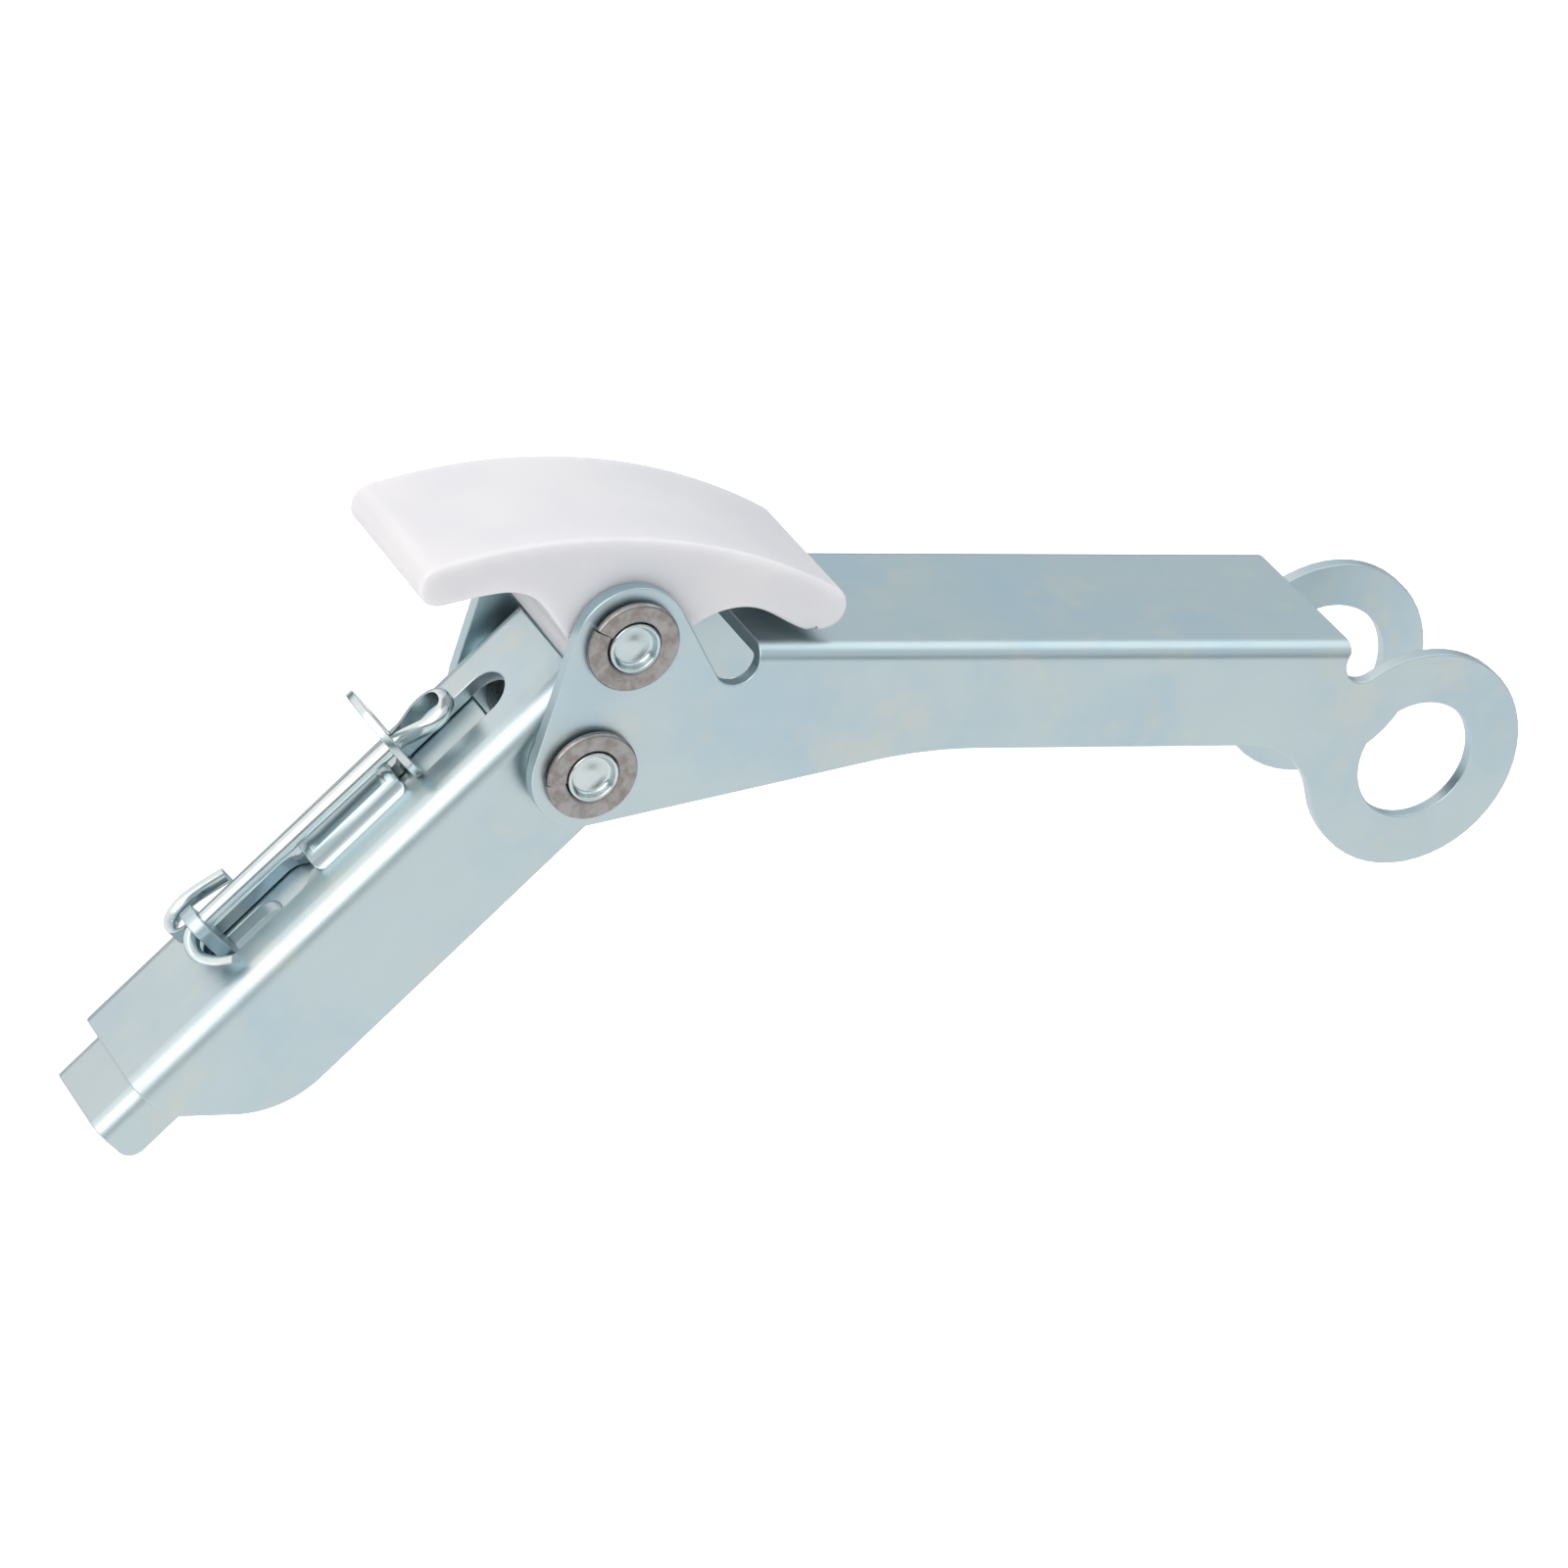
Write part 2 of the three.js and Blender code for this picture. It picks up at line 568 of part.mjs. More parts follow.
const arm = new THREE.Group();
arm.add(piece('lever_channel', leverChannel(), zinc));
for (const [name, axis] of [['cam', camAxis], ['hinge', hinge]]) {
  arm.add(piece(`${name}_pin`, crossPin(axis), zinc));
  arm.add(piece(`${name}_lock_washer_near`, lockWasher(axis, -1), bareSteel));
  arm.add(piece(`${name}_lock_washer_far`, lockWasher(axis, 1), bareSteel));
}
arm.add(piece('hinge_spacer_near', hingeSpacer(-1), zinc));
arm.add(piece('hinge_spacer_far', hingeSpacer(1), zinc));
arm.add(piece('cam_sleeve', camSleeve(), zinc));
arm.add(piece('cam_shoe', camShoe(), nylon));

const leg = new THREE.Group();
leg.position.set(hinge.x, 0, hinge.z);
leg.rotation.y = -legAngle;
leg.add(piece('leg_channel', legChannel(), zinc));
leg.add(piece('hinge_sleeve', hingeSleeve(), zinc));
leg.add(piece('bolt_channel', boltChannel(), zinc));
leg.add(piece('split_pin', splitPin(), zinc));
leg.add(piece('flat_washer', flatWasher(), zinc));

const group = new THREE.Group();
group.add(arm);
group.add(leg);

export default group;
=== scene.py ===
# Folding latch lever: zinc plated channels on two dished pins, spring washers, a nylon cam and a split pin.
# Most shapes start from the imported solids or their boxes. The split pin follows a path in the leg's frame.
import json
import math
import bmesh
import bpy
from mathutils import Matrix, Vector


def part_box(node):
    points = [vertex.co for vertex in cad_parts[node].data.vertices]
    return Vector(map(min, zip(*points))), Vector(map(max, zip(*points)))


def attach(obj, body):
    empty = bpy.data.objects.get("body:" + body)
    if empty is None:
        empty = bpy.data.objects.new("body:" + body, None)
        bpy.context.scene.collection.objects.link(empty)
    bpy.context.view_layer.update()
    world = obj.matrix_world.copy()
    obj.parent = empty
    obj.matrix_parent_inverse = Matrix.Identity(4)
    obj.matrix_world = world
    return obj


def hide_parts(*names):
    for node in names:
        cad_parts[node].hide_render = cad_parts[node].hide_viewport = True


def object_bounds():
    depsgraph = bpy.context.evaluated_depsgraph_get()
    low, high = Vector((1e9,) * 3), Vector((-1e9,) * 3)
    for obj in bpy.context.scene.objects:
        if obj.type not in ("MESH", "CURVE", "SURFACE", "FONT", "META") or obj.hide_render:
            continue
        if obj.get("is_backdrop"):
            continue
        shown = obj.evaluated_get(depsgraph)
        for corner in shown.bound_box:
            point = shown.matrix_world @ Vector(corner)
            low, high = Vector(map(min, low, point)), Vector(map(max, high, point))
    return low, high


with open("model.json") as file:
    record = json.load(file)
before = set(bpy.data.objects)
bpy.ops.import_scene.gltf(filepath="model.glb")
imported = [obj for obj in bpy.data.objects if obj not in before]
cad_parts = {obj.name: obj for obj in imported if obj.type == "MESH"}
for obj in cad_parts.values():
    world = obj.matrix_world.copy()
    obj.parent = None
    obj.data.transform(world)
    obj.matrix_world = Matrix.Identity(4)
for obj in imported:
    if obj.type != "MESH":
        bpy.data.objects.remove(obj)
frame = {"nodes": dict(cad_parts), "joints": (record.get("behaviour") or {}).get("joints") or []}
cadLow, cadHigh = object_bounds()
joints = {j["name"]: j for j in frame["joints"]}
mm = 0.001


def boxCentre(node):
    low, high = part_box(node)
    return (low + high) / 2


hingeAxis = Vector(joints["leg_hinge"]["pos_m"])
upLeg = Vector(joints["bolt_slide"]["axis"]).normalized()     # the bolt slides this way, up the leg
acrossLeg = Vector((0, 1, 0))
outOfLeg = upLeg.cross(acrossLeg)                             # straight out of the leg's web
legPlace = Matrix((upLeg, acrossLeg, outOfLeg)).transposed().to_4x4()
legPlace.translation = hingeAxis
print("frame loaded, leg points out along", [round(c, 3) for c in outOfLeg])


def newGroup(name, inputs, outputs):
    tree = bpy.data.node_groups.new(name, "ShaderNodeTree")
    for label, kind, value in inputs:
        socket = tree.interface.new_socket(label, in_out="INPUT", socket_type=kind)
        socket.default_value = value
    for label, kind in outputs:
        tree.interface.new_socket(label, in_out="OUTPUT", socket_type=kind)
    start = tree.nodes.new("NodeGroupInput")
    end = tree.nodes.new("NodeGroupOutput")
    return tree, start, end


def addNoise(tree, vector, scale, detail, roughness=0.5):
    node = tree.nodes.new("ShaderNodeTexNoise")
    node.inputs["Detail"].default_value = detail
    node.inputs["Roughness"].default_value = roughness
    if hasattr(scale, "is_output"):
        tree.links.new(scale, node.inputs["Scale"])
    else:
        node.inputs["Scale"].default_value = scale
    tree.links.new(vector, node.inputs["Vector"])
    return node.outputs["Fac"]


def addRange(tree, value, low, high, toLow=0.0, toHigh=1.0):
    node = tree.nodes.new("ShaderNodeMapRange")
    node.interpolation_type = "SMOOTHSTEP"
    for label, amount in (("From Min", low), ("From Max", high), ("To Min", toLow), ("To Max", toHigh)):
        if hasattr(amount, "is_output"):
            tree.links.new(amount, node.inputs[label])
        else:
            node.inputs[label].default_value = amount
    tree.links.new(value, node.inputs["Value"])
    return node.outputs["Result"]


def addMix(tree, factor, a, b):
    node = tree.nodes.new("ShaderNodeMix")
    node.data_type = "RGBA"
    for socket, amount in ((node.inputs[0], factor), (node.inputs[6], a), (node.inputs[7], b)):
        if hasattr(amount, "is_output"):
            tree.links.new(amount, socket)
        else:
            socket.default_value = amount
    return node.outputs[2]


def addMath(tree, operation, a, b):
    node = tree.nodes.new("ShaderNodeMath")
    node.operation = operation
    for socket, amount in zip(node.inputs, (a, b)):
        if hasattr(amount, "is_output"):
            tree.links.new(amount, socket)
        else:
            socket.default_value = amount
    return node.outputs[0]


# Plated sheet: cloudy tint, rolling lines along the piece and a fine grain.
platingNoise = {
    "lines": 650, "clouds": 32, "patches": 75, "grain": 1700,      # scales
    "lineStretch": 0.06,                                           # the lines run along the piece
    "fineShare": 0.2, "mottleShare": 0.3, "lineHeight": 0.35,
}


def buildPlating():
    inputs = [
        ("Tint", "NodeSocketColor", (0.5, 0.6, 0.65, 1)), ("Cloud", "NodeSocketColor", (0.4, 0.56, 0.66, 1)),
        ("Warm", "NodeSocketColor", (0.66, 0.66, 0.6, 1)), ("Turn", "NodeSocketFloat", 0.0),
        ("Smooth", "NodeSocketFloat", 0.22), ("Rough", "NodeSocketFloat", 0.4),
    ]
    outputs = [("Color", "NodeSocketColor"), ("Roughness", "NodeSocketFloat"), ("Height", "NodeSocketFloat")]
    tree, start, end = newGroup("plating", inputs, outputs)
    where = tree.nodes.new("ShaderNodeTexCoord").outputs["Object"]
    turn = tree.nodes.new("ShaderNodeVectorRotate")
    turn.rotation_type = "Y_AXIS"
    tree.links.new(where, turn.inputs["Vector"])
    tree.links.new(start.outputs["Turn"], turn.inputs["Angle"])
    stretch = tree.nodes.new("ShaderNodeVectorMath")
    stretch.operation = "MULTIPLY"
    stretch.inputs[1].default_value = (platingNoise["lineStretch"], 1, 1)
    tree.links.new(turn.outputs["Vector"], stretch.inputs[0])
    lines = addNoise(tree, stretch.outputs[0], platingNoise["lines"], 3, 0.6)
    clouds = addNoise(tree, where, platingNoise["clouds"], 5, 0.6)
    patches = addNoise(tree, where, platingNoise["patches"], 4, 0.6)
    grain = addNoise(tree, where, platingNoise["grain"], 3, 0.65)
    tinted = addMix(tree, addRange(tree, clouds, 0.4, 0.66), start.outputs["Tint"], start.outputs["Cloud"])
    warmed = addMix(tree, addRange(tree, patches, 0.5, 0.72, 0, 0.7), tinted, start.outputs["Warm"])
    tree.links.new(warmed, end.inputs["Color"])
    fine = addMath(tree, "MULTIPLY", addMath(tree, "ADD", lines, grain), platingNoise["fineShare"])
    coarse = addMath(tree, "MULTIPLY", addMath(tree, "ADD", clouds, patches), platingNoise["mottleShare"])
    mottled = addMath(tree, "ADD", fine, coarse)
    tree.links.new(
        addRange(tree, mottled, 0.25, 0.75, start.outputs["Smooth"], start.outputs["Rough"]),
        end.inputs["Roughness"],
    )
    raised = addMath(tree, "MULTIPLY", lines, platingNoise["lineHeight"])
    tree.links.new(addMath(tree, "ADD", raised, grain), end.inputs["Height"])
    return tree


# Bare spring steel: dull, with brown stains and pits.
stainNoise = {"blotches": 420, "pits": 2400, "pitHeight": 0.7}


def buildStain():
    inputs = [
        ("Steel", "NodeSocketColor", (0.4, 0.4, 0.4, 1)), ("Stain", "NodeSocketColor", (0.3, 0.2, 0.15, 1)),
        ("Amount", "NodeSocketFloat", 0.6),
    ]
    outputs = [("Color", "NodeSocketColor"), ("Roughness", "NodeSocketFloat"), ("Height", "NodeSocketFloat")]
    tree, start, end = newGroup("stain", inputs, outputs)
    where = tree.nodes.new("ShaderNodeTexCoord").outputs["Object"]
    blotches = addNoise(tree, where, stainNoise["blotches"], 5, 0.65)
    pits = addNoise(tree, where, stainNoise["pits"], 3, 0.7)
    mask = addMath(tree, "MULTIPLY", addRange(tree, blotches, 0.38, 0.66), start.outputs["Amount"])
    tree.links.new(addMix(tree, mask, start.outputs["Steel"], start.outputs["Stain"]), end.inputs["Color"])
    tree.links.new(addRange(tree, blotches, 0.35, 0.7, 0.26, 0.5), end.inputs["Roughness"])
    pitted = addMath(tree, "MULTIPLY", pits, stainNoise["pitHeight"])
    tree.links.new(addMath(tree, "ADD", pitted, blotches), end.inputs["Height"])
    return tree


plating = buildPlating()
stain = buildStain()


def newMaterial(name, group, values, bump, bumpDistance, settings):
    material = bpy.data.materials.new(name)
    material.use_nodes = True
    tree = material.node_tree
    shader = tree.nodes["Principled BSDF"]
    for label, value in settings.items():
        shader.inputs[label].default_value = value
    node = tree.nodes.new("ShaderNodeGroup")
    node.node_tree = group
    for label, value in values.items():
        node.inputs[label].default_value = value
    relief = tree.nodes.new("ShaderNodeBump")
    relief.inputs["Strength"].default_value = bump
    relief.inputs["Distance"].default_value = bumpDistance
    tree.links.new(node.outputs["Color"], shader.inputs["Base Color"])
    tree.links.new(node.outputs["Roughness"], shader.inputs["Roughness"])
    tree.links.new(node.outputs["Height"], relief.inputs["Height"])
    tree.links.new(relief.outputs["Normal"], shader.inputs["Normal"])
    return material


legTurn = math.atan2(upLeg.z, upLeg.x)
zincTone = {
    "Tint": (0.475, 0.58, 0.605, 1), "Cloud": (0.43, 0.56, 0.622, 1), "Warm": (0.54, 0.595, 0.57, 1),
    "Smooth": 0.29, "Rough": 0.45,
}
smallTone = {
    **zincTone, "Tint": (0.55, 0.63, 0.64, 1), "Cloud": (0.45, 0.56, 0.59, 1), "Smooth": 0.14, "Rough": 0.28,
}
steelTone = {"Steel": (0.33, 0.335, 0.335, 1), "Stain": (0.235, 0.2, 0.18, 1), "Amount": 0.65}
metal = {"Metallic": 1.0}
zincArm = newMaterial("zincArm", plating, zincTone, 0.05, 0.03 * mm, metal)
zincLeg = newMaterial("zincLeg", plating, {**zincTone, "Turn": legTurn}, 0.05, 0.03 * mm, metal)
zincSmall = newMaterial("zincSmall", plating, smallTone, 0.08, 0.03 * mm, metal)
springSteel = newMaterial("springSteel", stain, steelTone, 0.4, 0.06 * mm, metal)


# Natural nylon: milky, soft light inside, a faint moulded grain.
nylonTone = {
    "light": (0.64, 0.655, 0.675, 1), "dark": (0.615, 0.634, 0.665, 1),
    "milk": 60, "grain": 1500, "relief": 0.08, "depth": 0.05 * mm,
}


def buildNylon():
    material = bpy.data.materials.new("nylon")
    material.use_nodes = True
    tree = material.node_tree
    shader = tree.nodes["Principled BSDF"]
    settings = {
        "Roughness": 0.42, "Subsurface Weight": 0.7, "Subsurface Scale": 0.006,
        "Subsurface Radius": (1.0, 0.9, 0.85), "IOR": 1.5,
    }
    for label, value in settings.items():
        shader.inputs[label].default_value = value
    where = tree.nodes.new("ShaderNodeTexCoord").outputs["Object"]
    milk = addRange(tree, addNoise(tree, where, nylonTone["milk"], 3), 0.35, 0.65)
    tree.links.new(addMix(tree, milk, nylonTone["light"], nylonTone["dark"]), shader.inputs["Base Color"])
    fine = tree.nodes.new("ShaderNodeBump")
    fine.inputs["Strength"].default_value = nylonTone["relief"]
    fine.inputs["Distance"].default_value = nylonTone["depth"]
    tree.links.new(addNoise(tree, where, nylonTone["grain"], 3), fine.inputs["Height"])
    tree.links.new(fine.outputs["Normal"], shader.inputs["Normal"])
    return material


nylon = buildNylon()
print("finishes made")


def addObject(name, mesh, material):
    piece = bpy.data.objects.new(name, mesh)
    bpy.context.scene.collection.objects.link(piece)
    mesh.materials.clear()
    mesh.materials.append(material)
    return piece


def settle(piece):
    # the finished mesh takes the place of the modifiers
    graph = bpy.context.evaluated_depsgraph_get()
    done = bpy.data.meshes.new_from_object(piece.evaluated_get(graph))
    piece.modifiers.clear()
    piece.data = done
    return piece


def hand(piece, body, slot, *nodes):
    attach(piece, body)
    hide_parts(*nodes)


# A pressed or moulded piece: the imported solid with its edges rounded, except those that crisp picks out.
clean = {"weld": 0.002 * mm, "sliver": 0.004 * mm, "flat": math.radians(0.4)}


def roundedPiece(name, node, material, edge, rings=3, sharp=34, crisp=None):
    mesh = frame["nodes"][node].data.copy()
    mesh.name = name
    shape = bmesh.new()
    shape.from_mesh(mesh)
    bmesh.ops.remove_doubles(shape, verts=shape.verts, dist=clean["weld"])
    bmesh.ops.dissolve_degenerate(shape, dist=clean["sliver"], edges=shape.edges)
    bmesh.ops.dissolve_limit(
        shape, angle_limit=clean["flat"], verts=shape.verts, edges=shape.edges,
        use_dissolve_boundaries=False,
    )
    weights = shape.edges.layers.float.new("bevel_weight_edge")
    for line in shape.edges:
        rounded = line.calc_face_angle(0) > math.radians(sharp) and not (crisp and crisp(line))
        line[weights] = 1 if rounded else 0
    shape.to_mesh(mesh)
    shape.free()
    for layer in list(mesh.attributes):
        if layer.name in ("custom_normal", "sharp_face", "sharp_edge"):
            mesh.attributes.remove(layer)
    piece = addObject(name, mesh, material)
    mesh.shade_smooth()
    bevel = piece.modifiers.new("edge", "BEVEL")
    bevel.width = edge
    bevel.segments = rings
    bevel.limit_method = "WEIGHT"
    bevel.use_clamp_overlap = False
    bevel.miter_outer = "MITER_ARC"
    normals = piece.modifiers.new("normals", "WEIGHTED_NORMAL")
    normals.keep_sharp = False
    normals.weight = 100
    return settle(piece)


# The raised bridge between the leg's slots keeps its own pressed edges.
bridge = {"start": 24 * mm, "end": 52 * mm, "half": 6.3 * mm}      # down the leg and across it
intoLeg = legPlace.inverted()


def onBridge(line):
    spot = intoLeg @ ((line.verts[0].co + line.verts[1].co) / 2)
    return bridge["start"] < -spot.x < bridge["end"] and abs(spot.y) < bridge["half"]


channel = {"edge": 0.28 * mm, "rings": 4}
lever = roundedPiece("lever", "lever_channel", zincArm, channel["edge"], channel["rings"])
hand(lever, "arm", "zinc_plate", "lever_channel")
leg = roundedPiece("leg", "leg_channel", zincLeg, channel["edge"], channel["rings"], crisp=onBridge)
hand(leg, "leg", "zinc_plate", "leg_channel")
bolt = roundedPiece("bolt", "bolt_channel", zincLeg, channel["edge"], channel["rings"])
hand(bolt, "bolt", "zinc_plate", "bolt_channel")
print("channels rounded")

cam = {"edge": 0.7 * mm, "rings": 5}
shoe = roundedPiece("camShoe", "cam_shoe", nylon, cam["edge"], cam["rings"], 40)
hand(shoe, "cam", "nylon", "cam_shoe")

small = {"edge": 0.22 * mm, "rings": 2}
for node, name, body, finish, slot in (
    ("flat_washer", "flatWasher", "bolt", zincSmall, "zinc_plate"),
    ("hinge_spacer_near", "spacerNear", "arm", zincSmall, "zinc_plate"),
    ("hinge_spacer_far", "spacerFar", "arm", zincSmall, "zinc_plate"),
    ("cam_sleeve", "camSleeve", "arm", zincSmall, "zinc_plate"),
    ("hinge_sleeve", "hingeSleeve", "leg", springSteel, "bare_steel"),
):
    hand(roundedPiece(name, node, finish, small["edge"], small["rings"], 50), body, slot, node)
print("cam, washer and spacers rounded")


pin = {
    "rim": 0.3 * mm,         # flat rim left round the dish
    "round": 0.35 * mm,      # rounding of the outer edge
    "dish": 1.5 * mm,        # depth of the dish
    "dome": 0.5 * mm,        # the dish's floor rises this much towards its middle
    "dimple": 0.15 * mm,     # centre mark
    "markShare": 0.16,       # its radius, of the pin's
    "floorShare": 0.82,      # radius of the dish's floor, of its mouth's
    "cove": 0.12 * mm,       # the dish's side stops this far below the rim
    "sides": 96,
}


def arcPoints(centre, radius, start, end, count):
    steps = [start + (end - start) * i / count for i in range(count + 1)]
    return [(centre[0] + radius * math.cos(a), centre[1] + radius * math.sin(a)) for a in steps]


def pinEnd(radius, half):
    # from the middle of the dish out to the side of the pin
    mouth = radius - pin["round"] - pin["rim"]
    floor = mouth * pin["floorShare"]
    low = half - pin["dish"]
    mark = radius * pin["markShare"]
    points = [(0, low + pin["dome"] - pin["dimple"])]
    for i in range(1, 13):
        r = floor * i / 12
        rise = pin["dome"] * (0.5 + 0.5 * math.cos(math.pi * r / floor))
        sunk = pin["dimple"] * max(0, 1 - r / mark) ** 0.8
        points.append((r, low + rise - sunk))
    for t in (0.25, 0.5, 0.75, 0.95):
        points.append((floor + (mouth - floor) * t, low + (pin["dish"] - pin["cove"]) * t ** 1.6))
    points += [(mouth + 0.1 * mm, half)]
    points += arcPoints((radius - pin["round"], half - pin["round"]), pin["round"], math.pi / 2, 0, 5)
    return points


def turnedMesh(name, profile, sides):
    mesh = bpy.data.meshes.new(name)
    shape = bmesh.new()
    rings = []
    for r, y in profile:
        if r < 1e-9:
            rings.append([shape.verts.new((0, y, 0))])
        else:
            angles = [2 * math.pi * k / sides for k in range(sides)]
            rings.append([shape.verts.new((r * math.cos(a), y, r * math.sin(a))) for a in angles])
    for inner, outer in zip(rings, rings[1:]):
        for k in range(sides):
            nextK = (k + 1) % sides
            if len(inner) == 1:
                shape.faces.new((inner[0], outer[k], outer[nextK]))
            elif len(outer) == 1:
                shape.faces.new((inner[k], outer[0], inner[nextK]))
            else:
                shape.faces.new((inner[k], outer[k], outer[nextK], inner[nextK]))
    bmesh.ops.recalc_face_normals(shape, faces=shape.faces)
    shape.to_mesh(mesh)
    shape.free()
    mesh.shade_smooth()
    return mesh


for node, name in (("cam_pin", "camPin"), ("hinge_pin", "hingePin")):
    low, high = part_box(node)
    centre = boxCentre(node)
    radius = (high.x - low.x) / 2
    half = (high.y - low.y) / 2
    end = pinEnd(radius, half)
    profile = end + [(r, -y) for r, y in reversed(end)]
    mesh = turnedMesh(name, profile, pin["sides"])
    mesh.transform(Matrix.Translation(centre))
    hand(addObject(name, mesh, zincSmall), "arm", "zinc_plate", node)
print("pins turned")


def newGeometryTree(name, inputs):
    tree = bpy.data.node_groups.new(name, "GeometryNodeTree")
    tree.interface.new_socket("Geometry", in_out="INPUT", socket_type="NodeSocketGeometry")
    for label, kind, value in inputs:
        socket = tree.interface.new_socket(label, in_out="INPUT", socket_type=kind)
        if value is not None:
            socket.default_value = value
    tree.interface.new_socket("Geometry", in_out="OUTPUT", socket_type="NodeSocketGeometry")
    return tree, tree.nodes.new("NodeGroupInput"), tree.nodes.new("NodeGroupOutput")


def link(tree, source, target):
    tree.links.new(source, target)


def endTree(tree, start, end, geometry):
    realize = tree.nodes.new("GeometryNodeRealizeInstances")
    smooth = tree.nodes.new("GeometryNodeSetShadeSmooth")
    finish = tree.nodes.new("GeometryNodeSetMaterial")
    link(tree, geometry, realize.inputs["Geometry"])
    link(tree, realize.outputs["Geometry"], smooth.inputs["Geometry"])
    link(tree, smooth.outputs["Geometry"], finish.inputs["Geometry"])
    link(tree, start.outputs["Finish"], finish.inputs["Material"])
    link(tree, finish.outputs["Geometry"], end.inputs["Geometry"])


def socketId(tree, label):
    for item in tree.interface.items_tree:
        if item.in_out == "INPUT" and item.name == label:
            return item.identifier


def grow(name, data, tree, values):
    carrier = bpy.data.objects.new(name + "Carrier", data)
    bpy.context.scene.collection.objects.link(carrier)
    modifier = carrier.modifiers.new("grow", "NODES")
    modifier.node_group = tree
    for label, value in values.items():
        modifier[socketId(tree, label)] = value
    graph = bpy.context.evaluated_depsgraph_get()
    mesh = bpy.data.meshes.new_from_object(carrier.evaluated_get(graph))
    mesh.name = name
    carrier.modifiers.clear()
    bpy.data.objects.remove(carrier)
    return mesh


# A split spring washer: a flat ring section swept round an arc that climbs a little.
def buildSpringRing():
    inputs = [
        ("Radius", "NodeSocketFloat", 0.007), ("Width", "NodeSocketFloat", 0.004),
        ("Thickness", "NodeSocketFloat", 0.002), ("Split", "NodeSocketFloat", 0.1),
        ("Climb", "NodeSocketFloat", 0.0003), ("Corner", "NodeSocketFloat", 0.0004),
        ("Finish", "NodeSocketMaterial", None),
    ]
    tree, start, end = newGeometryTree("springRing", inputs)
    arc = tree.nodes.new("GeometryNodeCurveArc")
    arc.mode = "RADIUS"
    arc.inputs["Resolution"].default_value = 121
    link(tree, start.outputs["Radius"], arc.inputs["Radius"])
    link(tree, addMath(tree, "MULTIPLY", start.outputs["Split"], 0.5), arc.inputs["Start Angle"])
    link(tree, addMath(tree, "SUBTRACT", 2 * math.pi, start.outputs["Split"]), arc.inputs["Sweep Angle"])
    along = tree.nodes.new("GeometryNodeSplineParameter")
    centred = addMath(tree, "SUBTRACT", along.outputs["Factor"], 0.5)
    lift = tree.nodes.new("ShaderNodeCombineXYZ")
    link(tree, addMath(tree, "MULTIPLY", centred, start.outputs["Climb"]), lift.inputs["Z"])
    climb = tree.nodes.new("GeometryNodeSetPosition")
    link(tree, arc.outputs["Curve"], climb.inputs["Geometry"])
    link(tree, lift.outputs[0], climb.inputs["Offset"])
    section = tree.nodes.new("GeometryNodeCurvePrimitiveQuadrilateral")
    link(tree, start.outputs["Width"], section.inputs["Width"])
    link(tree, start.outputs["Thickness"], section.inputs["Height"])
    fillet = tree.nodes.new("GeometryNodeFilletCurve")
    fillet.mode = "POLY"
    fillet.inputs["Count"].default_value = 4
    link(tree, section.outputs["Curve"], fillet.inputs["Curve"])
    link(tree, start.outputs["Corner"], fillet.inputs["Radius"])
    sweepRing = tree.nodes.new("GeometryNodeCurveToMesh")
    sweepRing.inputs["Fill Caps"].default_value = True
    link(tree, climb.outputs["Geometry"], sweepRing.inputs["Curve"])
    link(tree, fillet.outputs["Curve"], sweepRing.inputs["Profile Curve"])
    endTree(tree, start, end, sweepRing.outputs["Mesh"])
    return tree


lockWasher = {
    "split": 0.04,           # opening of the split, in radians
    "climb": 0.5 * mm,       # from one end of the split to the other
    "corner": 0.65 * mm,
    "play": 0.1 * mm,        # round the pin
    "seat": 0.12 * mm,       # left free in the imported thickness
    "camTurn": math.radians(158),      # where each split stands, seen from the near side
    "hingeTurn": math.radians(193),
}
springRing = buildSpringRing()


def springWasher(node, pinNode, turn):
    low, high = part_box(node)
    pinLow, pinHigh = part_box(pinNode)
    outer = (high.x - low.x) / 2
    bore = (pinHigh.x - pinLow.x) / 2 + lockWasher["play"]
    thick = high.y - low.y - lockWasher["seat"]
    mesh = grow(node, bpy.data.meshes.new("empty"), springRing, {
        "Radius": (outer + bore) / 2, "Width": outer - bore, "Thickness": thick - lockWasher["climb"],
        "Split": lockWasher["split"], "Climb": lockWasher["climb"], "Corner": lockWasher["corner"],
        "Finish": springSteel,
    })
    stand = Matrix.Rotation(math.radians(90), 4, "X")          # the ring's axis now lies across the arm
    spun = Matrix.Rotation(-turn, 4, "Y")
    mesh.transform(Matrix.Translation(boxCentre(node)) @ spun @ stand)
    mesh.set_sharp_from_angle(angle=math.radians(50))
    return addObject(node + "Ring", mesh, springSteel)


for pinNode, turn in (("cam", lockWasher["camTurn"]), ("hinge", lockWasher["hingeTurn"])):
    for label in ("near", "far"):
        node = f"{pinNode}_lock_washer_{label}"
        hand(springWasher(node, pinNode + "_pin", turn), "arm", "bare_steel", node)
print("spring washers made")


# Half-round wire along a path in the leg's frame, in millimetres: down the leg, across, out of the web.
splitPin = {
    "wire": 1.8,             # radius of the half-round
    "gap": 0.12,             # between its two halves
    "eyeStart": 8.9, "eyeWidth": 8.0, "eyeEnd": 22.5, "eyeHeight": 19.7,
    "height": 20.3,          # where it enters the washer
    "hole": 20.9,            # where it goes through the tab
    "step": 0.3,             # length of one facet along the wire
}


